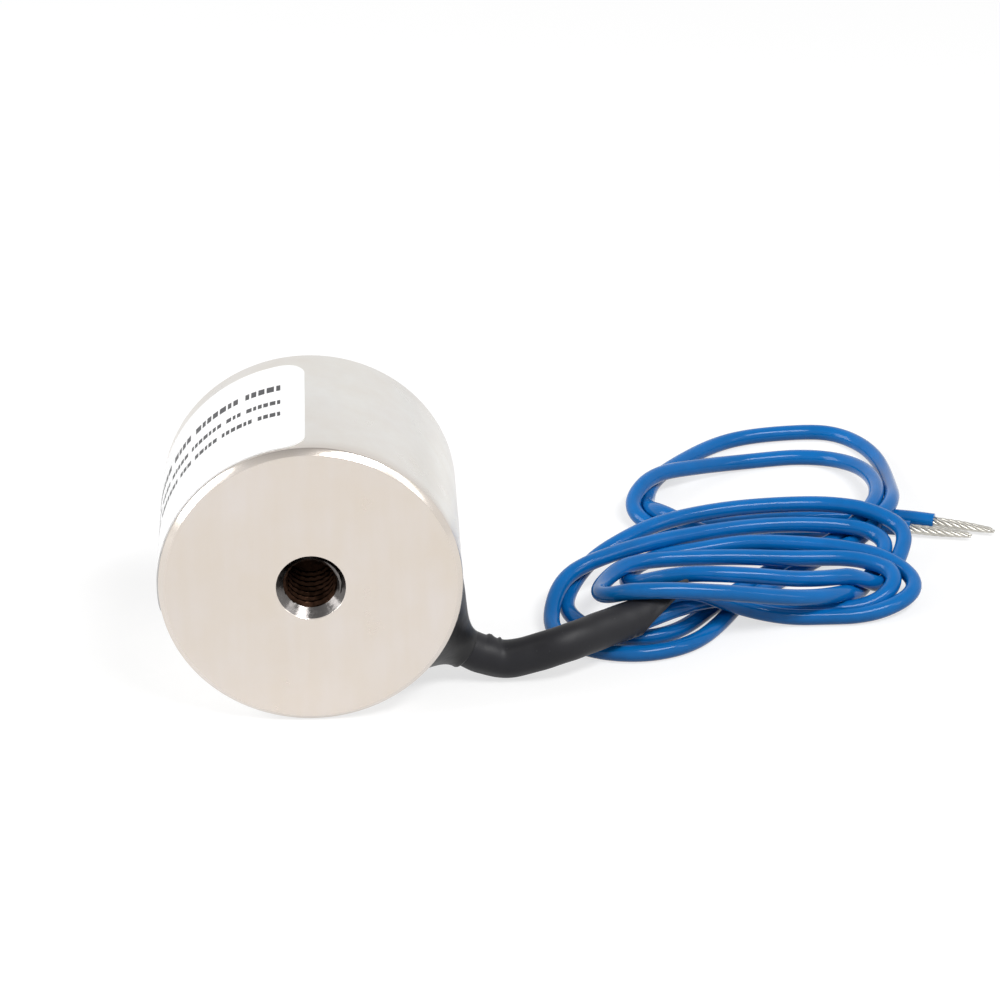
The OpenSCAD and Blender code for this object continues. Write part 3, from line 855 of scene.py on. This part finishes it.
class MAGNET_OT_leads(bpy.types.Operator):
    """Lay the two blue leads and their tinned ends"""

    bl_idname = "magnet.leads"
    bl_label = "Leads"

    def execute(self, context):
        leads = settings("leads")
        blue = coated("blue_insulation", leads.insulation, 0.12, 260, (5000, 0.001), 0.03, 0.2)
        tin = bright_metal("tinned_strands", leads.tin, 0.36, (9000, 0.004))
        wire_d = value_of(leads, "wire_d")
        for letter, line in zip("ab", lead_lines()):
            line = smooth_line(line, 0.35)
            piece = add_piece("lead_" + letter, *tube(line, wire_d / 2, 20), (blue,), 60)
            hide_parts("lead_wire_" + letter, "lead_coil", "lead_tail_" + letter)
            tip = self.bare_end(letter, line, tin)
            extra = [tip]
            if letter == "a":
                extra += [bpy.data.objects["lead_sleeve_tube"], bpy.data.objects["seal_fillet"]]
        return {"FINISHED"}

    def bare_end(self, letter, line, tin):
        """The bare strands past the insulation, twisted together and drawn to a point."""
        leads = settings("leads")
        core_r, reach = value_of(leads, "core_d") / 2, value_of(leads, "tip_length")
        node_low, node_high = (np.array(p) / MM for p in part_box("tinned_end_" + letter))
        start = line[-1]
        target = np.array((node_high[0], node_low[1] + core_r, start[2]))
        ahead = (target - start) / np.linalg.norm(target - start)
        aside = np.array((-ahead[1], ahead[0], 0))
        strand_r, twists, hidden = core_r / 3, 1.3, 0.12
        drawn_in, drawn_from, droop = 0.45, 0.35, 0.1
        strand_ends = (1, 0.97, 0.93, 0.985, 0.9, 0.95, 0.92)
        parts = []
        for k, end in enumerate(strand_ends):
            t = np.linspace(-hidden, end, 44)
            taper = 1 - drawn_in * np.clip((t - drawn_from) / (1 - drawn_from), 0, 1) ** 1.5
            swing = k * math.pi / 3 + 2 * math.pi * twists * t
            out = (2 * strand_r if k else 0) * taper
            path = start + np.outer(t * reach, ahead) + np.outer(out * np.cos(swing), aside)
            path[:, 2] += out * np.sin(swing) - droop * np.clip(t, 0, 1)
            path[:, 2] = np.maximum(path[:, 2], 1.05 * strand_r)
            parts.append(tube(path, (strand_r * taper * 1.06)[:, None], 10))
        piece = add_piece("bare_end_" + letter, *joined(parts), (tin,), 50)
        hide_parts("tinned_end_" + letter)
        return piece


class MAGNET_OT_sleeve(bpy.types.Operator):
    """Sweep the black sleeve over both leads"""

    bl_idname = "magnet.sleeve"
    bl_label = "Sleeve"

    def execute(self, context):
        leads = settings("leads")
        wall, sides, step = value_of(leads, "sleeve_wall"), 48, 0.2
        line = smooth_line(sleeve_route(), step)
        past = np.arange(step, value_of(leads, "sleeve_past"), step)
        line = np.vstack([line, line[-1] + np.outer(past, directions(line)[-1])])
        turn = np.linspace(0, 2 * math.pi, sides, endpoint=False)
        along = np.arange(len(line))[:, None] * step
        outer = self.outline(along, turn)
        edge_length, edge_round, deep = 0.25, 0.05, 16
        edge = np.clip((along[-1] - along) / edge_length, 0, 1)
        points, faces = tube(line, outer - edge_round * (1 - np.sqrt(1 - (1 - edge) ** 2)), sides)
        inside, back = tube(line[-deep:], outer[-deep:] - wall, sides)
        count = len(points)
        ring, inner_ring = count - sides, count + len(inside) - sides
        faces = faces[:-1]
        faces += [[count + k for k in reversed(f)] for f in back[:-2]]
        faces.append([count + k for k in range(sides)])
        for k in range(sides):
            after = (k + 1) % sides
            faces.append([ring + k, ring + after, inner_ring + after, inner_ring + k])
        points = self.slanted(np.vstack([points, inside]), line, turn)
        black = coated("sleeve_black", leads.sleeve, 0.5, 300, (3500, 0.006), 0.02, 0.3)
        piece = add_piece("lead_sleeve_tube", points, faces, (black,), 50)
        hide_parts("lead_sleeve")
        return {"FINISHED"}

    def outline(self, along, turn):
        """The sleeve's radius: round in the seal, then oval, slightly uneven, with small lumps on top."""
        leads = settings("leads")
        tall, wide = (value_of(leads, name) / 2 for name in ("sleeve_d", "sleeve_side"))
        oval_from, oval_over, roll = 6.5, 3, math.radians(-20)
        bulge, bulge_at, bulge_reach = 0.26, 5.9, 2
        lumps, lump_turn, lump_width = ((5.9, 0.14, 0.22), (6.9, 0.17, 0.18)), 1.15, 0.35
        waves = ((0.012, 1.3, 1), (0.01, 2.9, -2))
        across = tall + (wide - tall) * np.clip((along - oval_from) / oval_over, 0, 1)
        radius = 1 / np.sqrt((np.cos(turn - roll) / across) ** 2 + (np.sin(turn - roll) / tall) ** 2)
        for height, pace, rounds in waves:
            radius = radius + height * np.sin(along * pace + rounds * turn)
        swell = np.exp(-((along - bulge_at) / bulge_reach) ** 2)
        radius = radius + bulge * swell * np.maximum(np.sin(turn), -0.6)
        for at, height, width in lumps:
            lump = np.exp(-((along - at) / width) ** 2)
            radius = radius + height * lump * np.exp(-((turn - lump_turn) / lump_width) ** 2)
        return radius

    def slanted(self, points, line, turn):
        """The points with the sleeve's end cut at a slant, shortest below on the near side."""
        cut, reach, shortest = value_of(settings("leads"), "sleeve_cut"), 6.5, 1.3 * math.pi
        ahead = directions(line)[-1]
        rings = points.reshape(-1, len(turn), 3)
        back = (line[-1] - rings) @ ahead
        close = np.linalg.norm(rings - line[-1], axis=2) < reach + 2
        fade = np.clip(1 - back / reach, 0, 1) * close
        shift = cut * fade * (1 + np.cos(turn - shortest)) / 2
        return (rings - shift[:, :, None] * ahead).reshape(-1, 3)


class MAGNET_OT_seal(bpy.types.Operator):
    """Build the black seal that flares from the sleeve onto the pot"""

    bl_idname = "magnet.seal"
    bl_label = "Seal"

    def execute(self, context):
        leads = settings("leads")
        sleeve_r, lip = value_of(leads, "sleeve_d") / 2, value_of(leads, "seal_lip")
        foot_r, columns = sleeve_r + value_of(leads, "seal_w"), 120
        drop = BODY_R - math.sqrt(BODY_R ** 2 - foot_r ** 2)
        top = np.array((sleeve_r + lip, value_of(leads, "seal_h")))
        foot = np.array((foot_r, lip - drop))
        lean = foot + leads.seal_lean * (top - foot)
        neck = top - (0, leads.seal_neck * value_of(leads, "seal_h"))
        t = np.linspace(0, 1, 30)[:, None]
        lower = (1 - t) ** 3 * foot + 3 * t * (1 - t) ** 2 * lean
        flare = lower + 3 * t ** 2 * (1 - t) * neck + t ** 3 * top
        rim = [(foot[0], foot[1] - 2 * lip)]
        collar = [top + (-0.3 * lip, 0.5 * lip), (sleeve_r - lip, top[1] + 0.6 * lip)]
        out, up = (np.vstack([rim, flare, collar])[:, k, None] for k in (0, 1))
        turn = np.linspace(0, 2 * math.pi, columns, endpoint=False)
        waves = ((0.014, 2, 0.6), (0.012, 5, 0), (0.008, 11, 2))
        ragged = sum(height * np.sin(count * turn + start) for height, count, start in waves)
        out = out * (1 + ragged * np.clip((out - sleeve_r) / foot_r, 0, 1))
        around, along = out * np.cos(turn), out * np.sin(turn)
        sunk = 0.03
        height = np.maximum(BODY_R + up, np.sqrt(BODY_R ** 2 - around ** 2) - sunk)
        across = np.array((math.sin(EXIT_ANGLE), 0, math.cos(EXIT_ANGLE)))
        points = AXIS_AT_EXIT + height[:, :, None] * EXIT_OUT + around[:, :, None] * across
        points = points + along[:, :, None] * np.array((0, 1, 0))
        faces = grid_faces(len(out), columns, True)
        rubber = coated("seal_rubber", leads.seal, 0.4, 420, (1400, 0.03), 0.05, 0.35)
        piece = add_piece("seal_fillet", points.reshape(-1, 3), faces, (rubber,), 60)
        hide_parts("exit_seal")
        return {"FINISHED"}


class MAGNET_OT_resin(bpy.types.Operator):
    """Cast the resin ring at the holding face"""

    bl_idname = "magnet.resin"
    bl_label = "Face Resin"

    def execute(self, context):
        pole_r = value_of(settings("pot"), "pole_d") / 2
        back_y, edge_y, middle_y = RESIN_LOW.y / MM, FACE_Y - 0.1, FACE_Y - 0.25
        swing = np.linspace(0, 1, 13)
        rise = (1 - swing) ** 3
        width = (SLOT_R - pole_r) / 2
        outer = np.stack([SLOT_R - width * swing, middle_y + (edge_y - middle_y) * rise], axis=1)
        inner = np.stack([pole_r + width * swing[:-1], middle_y + (edge_y - middle_y) * rise[:-1]], axis=1)
        back = np.array(((pole_r, back_y), (SLOT_R, back_y)))
        profile = np.vstack([back, outer, inner[::-1], back[:1]])
        columns = 160
        points = lathe(profile[:-1], columns)
        faces = grid_faces(len(profile) - 1, columns, True).tolist()
        last = (len(profile) - 2) * columns
        for k in range(columns):
            after = (k + 1) % columns
            faces.append([last + k, last + after, after, k])
        black = coated("cast_resin", settings("inside").resin, 0.26, 350, (700, 0.02), 0.15)
        piece = add_piece("resin_ring", points, faces, (black,), 40)
        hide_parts("face_resin")
        return {"FINISHED"}


class MAGNET_OT_inside(bpy.types.Operator):
    """Finish the bobbin, winding, tape and joints inside the pot"""

    bl_idname = "magnet.inside"
    bl_label = "Inside"

    def execute(self, context):
        inside = settings("inside")
        solder = bright_metal("bright_solder", inside.solder, 0.25, (5000, 0.01))
        finishes = {
            "coil_bobbin": coated("bobbin_plastic", inside.bobbin, 0.5, 300, (4000, 0.004)),
            "coil_winding": winding_copper(),
            "winding_tape": coated("tape_film", inside.tape, 0.3, 200, (3000, 0.003)),
            "solder_joint_a": solder,
            "solder_joint_b": solder,
        }
        for name, material in finishes.items():
            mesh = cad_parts[name].data
            mesh.materials.clear()
            mesh.materials.append(material)
        return {"FINISHED"}


def seen_directly(tree):
    """1 for rays from the camera, and for those that a mirror or glass sends on."""
    path = node(tree, "ShaderNodeLightPath")
    shown = math_node(tree, "MAXIMUM", path.outputs["Is Camera Ray"], path.outputs["Is Glossy Ray"])
    return math_node(tree, "MAXIMUM", shown, path.outputs["Is Transmission Ray"])


class MAGNET_OT_stage(bpy.types.Operator):
    """Set the floor, the light and the camera"""

    bl_idname = "magnet.stage"
    bl_label = "Stage"

    def execute(self, context):
        stage, scene = settings("stage"), context.scene
        scene.view_settings.view_transform = "Standard"
        world = bpy.data.worlds.new("white_tent")
        world.use_nodes = True
        scene.world = world
        tree = world.node_tree
        split = node(tree, "ShaderNodeSeparateXYZ")
        wire(tree, node(tree, "ShaderNodeTexCoord").outputs["Generated"], split.inputs[0])
        overhead = node(tree, "ShaderNodeMapRange", From_Min=0.6, From_Max=0.95, To_Min=1.0)
        overhead.inputs["To Max"].default_value = stage.ceiling
        wire(tree, split.outputs["Z"], overhead.inputs["Value"])
        extra = math_node(tree, "SUBTRACT", overhead.outputs[0], stage.sky)
        shown = math_node(tree, "MULTIPLY", seen_directly(tree), extra)
        background = tree.nodes["Background"]
        wire(tree, math_node(tree, "ADD", shown, stage.sky), background.inputs["Strength"])
        background.inputs["Color"].default_value = (1, 1, 1, 1)
        self.add_floor(stage)
        for lamp in LAMPS:
            self.add_lamp(*lamp)
        camera = bpy.data.objects.new("camera", bpy.data.cameras.new("camera"))
        scene.collection.objects.link(camera)
        camera.location = CAMERA_PLACE
        camera.rotation_euler = (math.radians(CAMERA_TILT), 0, math.radians(CAMERA_TURN))
        camera.data.lens = stage.lens
        camera.data.sensor_width = SENSOR_WIDTH
        camera.data.clip_start = 0.005
        scene.camera = camera
        return {"FINISHED"}

    def add_floor(self, stage):
        """A white floor that keeps the soft shadow."""
        half = 1.5
        mesh = bpy.data.meshes.new("floor")
        corners = [(-half, -half, 0), (half, -half, 0), (half, half, 0), (-half, half, 0)]
        mesh.from_pydata(corners, [], [(0, 1, 2, 3)])
        floor = bpy.data.objects.new("floor", mesh)
        bpy.context.scene.collection.objects.link(floor)
        material, tree, shader = new_material("white_floor")
        shader.inputs["Base Color"].default_value = (*stage.floor, 1)
        shader.inputs["Roughness"].default_value = 0.9
        shader.inputs["Specular IOR Level"].default_value = 0
        shader.inputs["Emission Color"].default_value = (1, 1, 1, 1)
        glow = math_node(tree, "MULTIPLY", seen_directly(tree), stage.floor_glow)
        wire(tree, glow, shader.inputs["Emission Strength"])
        mesh.materials.append(material)

    def add_lamp(self, name, place, target, size, power):
        """A softbox that points at a target."""
        data = bpy.data.lights.new(name, "AREA")
        data.shape = "RECTANGLE"
        data.size, data.size_y = size
        data.energy = power
        lamp = bpy.data.objects.new(name, data)
        bpy.context.scene.collection.objects.link(lamp)
        lamp.location = place
        way = lamp.location - type(lamp.location)(target)
        lamp.rotation_euler = way.to_track_quat("Z", "Y").to_euler()


class MAGNET_PT_panel(bpy.types.Panel):
    """The magnet's pieces, in the order in which they are built"""

    bl_idname = "MAGNET_PT_panel"
    bl_label = "Holding Electromagnet"
    bl_space_type = "VIEW_3D"
    bl_region_type = "UI"
    bl_category = "Magnet"

    def draw(self, context):
        for operator in OPERATORS:
            self.layout.operator(operator.bl_idname)
        for name in SETTINGS:
            group = settings(name)
            box = self.layout.box()
            for prop in group.bl_rna.properties:
                if prop.identifier not in ("rna_type", "name"):
                    box.prop(group, prop.identifier)


SETTINGS = {
    "pot": PotSettings, "label": LabelSettings, "leads": LeadSettings,
    "inside": InsideSettings, "stage": StageSettings,
}
OPERATORS = (
    MAGNET_OT_stage, MAGNET_OT_sleeve, MAGNET_OT_seal, MAGNET_OT_leads,
    MAGNET_OT_pot, MAGNET_OT_label, MAGNET_OT_resin, MAGNET_OT_inside,
)


def register():
    for cls in (*SETTINGS.values(), *OPERATORS, MAGNET_PT_panel):
        bpy.utils.register_class(cls)
    for name, group in SETTINGS.items():
        setattr(bpy.types.Scene, "magnet_" + name, PointerProperty(type=group))


def unregister():
    for name in SETTINGS:
        delattr(bpy.types.Scene, "magnet_" + name)
    for cls in (MAGNET_PT_panel, *reversed(OPERATORS), *reversed(SETTINGS.values())):
        bpy.utils.unregister_class(cls)


def main():
    register()
    bpy.ops.magnet.stage()
    bpy.ops.magnet.sleeve()
    bpy.ops.magnet.seal()
    bpy.ops.magnet.leads()
    bpy.ops.magnet.pot()
    bpy.ops.magnet.label()
    bpy.ops.magnet.resin()
    bpy.ops.magnet.inside()


if __name__ == "__main__":
    main()
